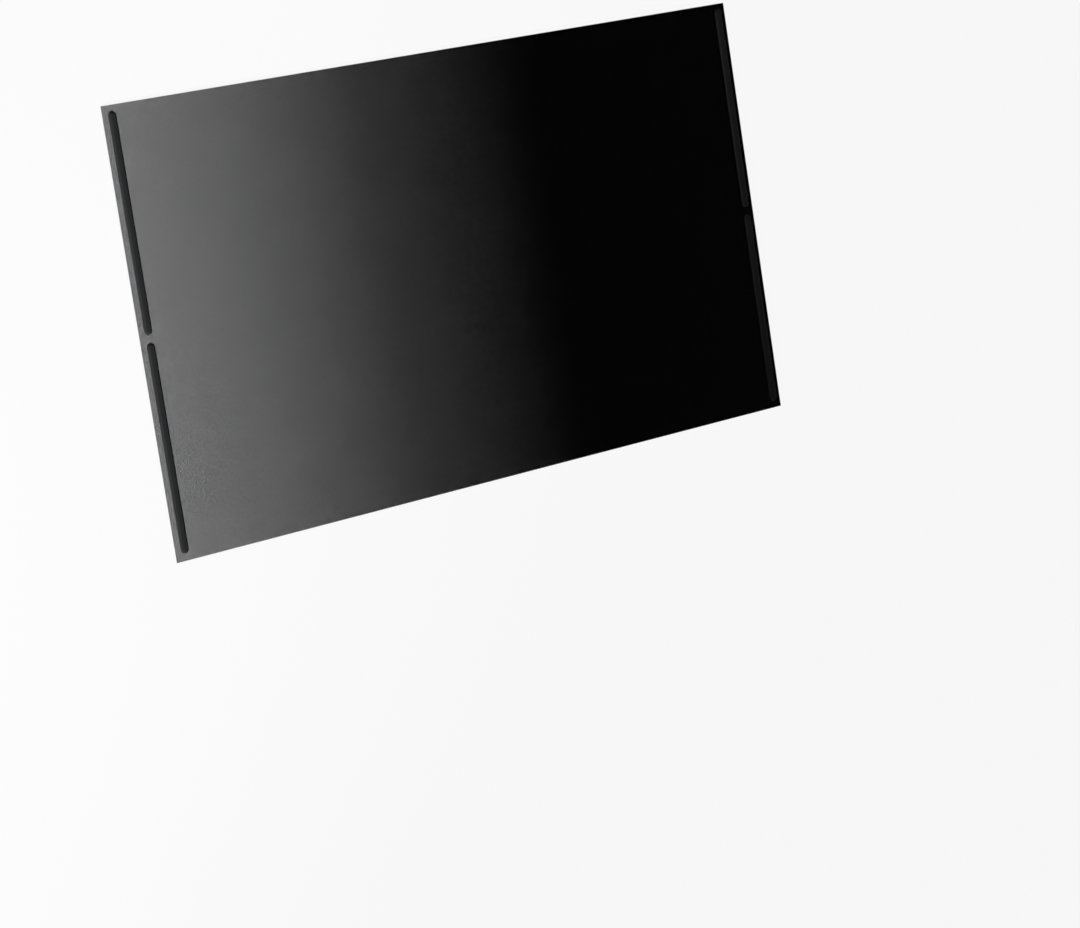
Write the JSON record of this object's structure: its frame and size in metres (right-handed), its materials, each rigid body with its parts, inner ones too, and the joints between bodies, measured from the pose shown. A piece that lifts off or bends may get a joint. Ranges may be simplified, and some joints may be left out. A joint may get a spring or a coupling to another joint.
{
  "type": "laptop privacy filter",
  "caption": "Thin dark louvred film that covers a laptop display so that it can be read only from straight ahead, with slim magnetic strips down both sides of its front face.",
  "frame": {"origin": "on the back face, under the middle of the film", "axes": "+X to the right-hand edge, +Y to the top edge, +Z out of the front face, as the person at the display sees it; the filter lies on its back face"},
  "size_m": [0.359, 0.2, 0.0016],
  "materials": {
    "louvre_film": "clear polyester film with black louvres inside and a fine anti-glare face",
    "magnet_strip": "matte black flexible magnet"
  },
  "bodies": {
    "root": {"filter_film": "louvre_film", "left_upper_magnet_strip": "magnet_strip", "left_lower_magnet_strip": "magnet_strip", "right_upper_magnet_strip": "magnet_strip", "right_lower_magnet_strip": "magnet_strip"}
  },
  "joints": []
}
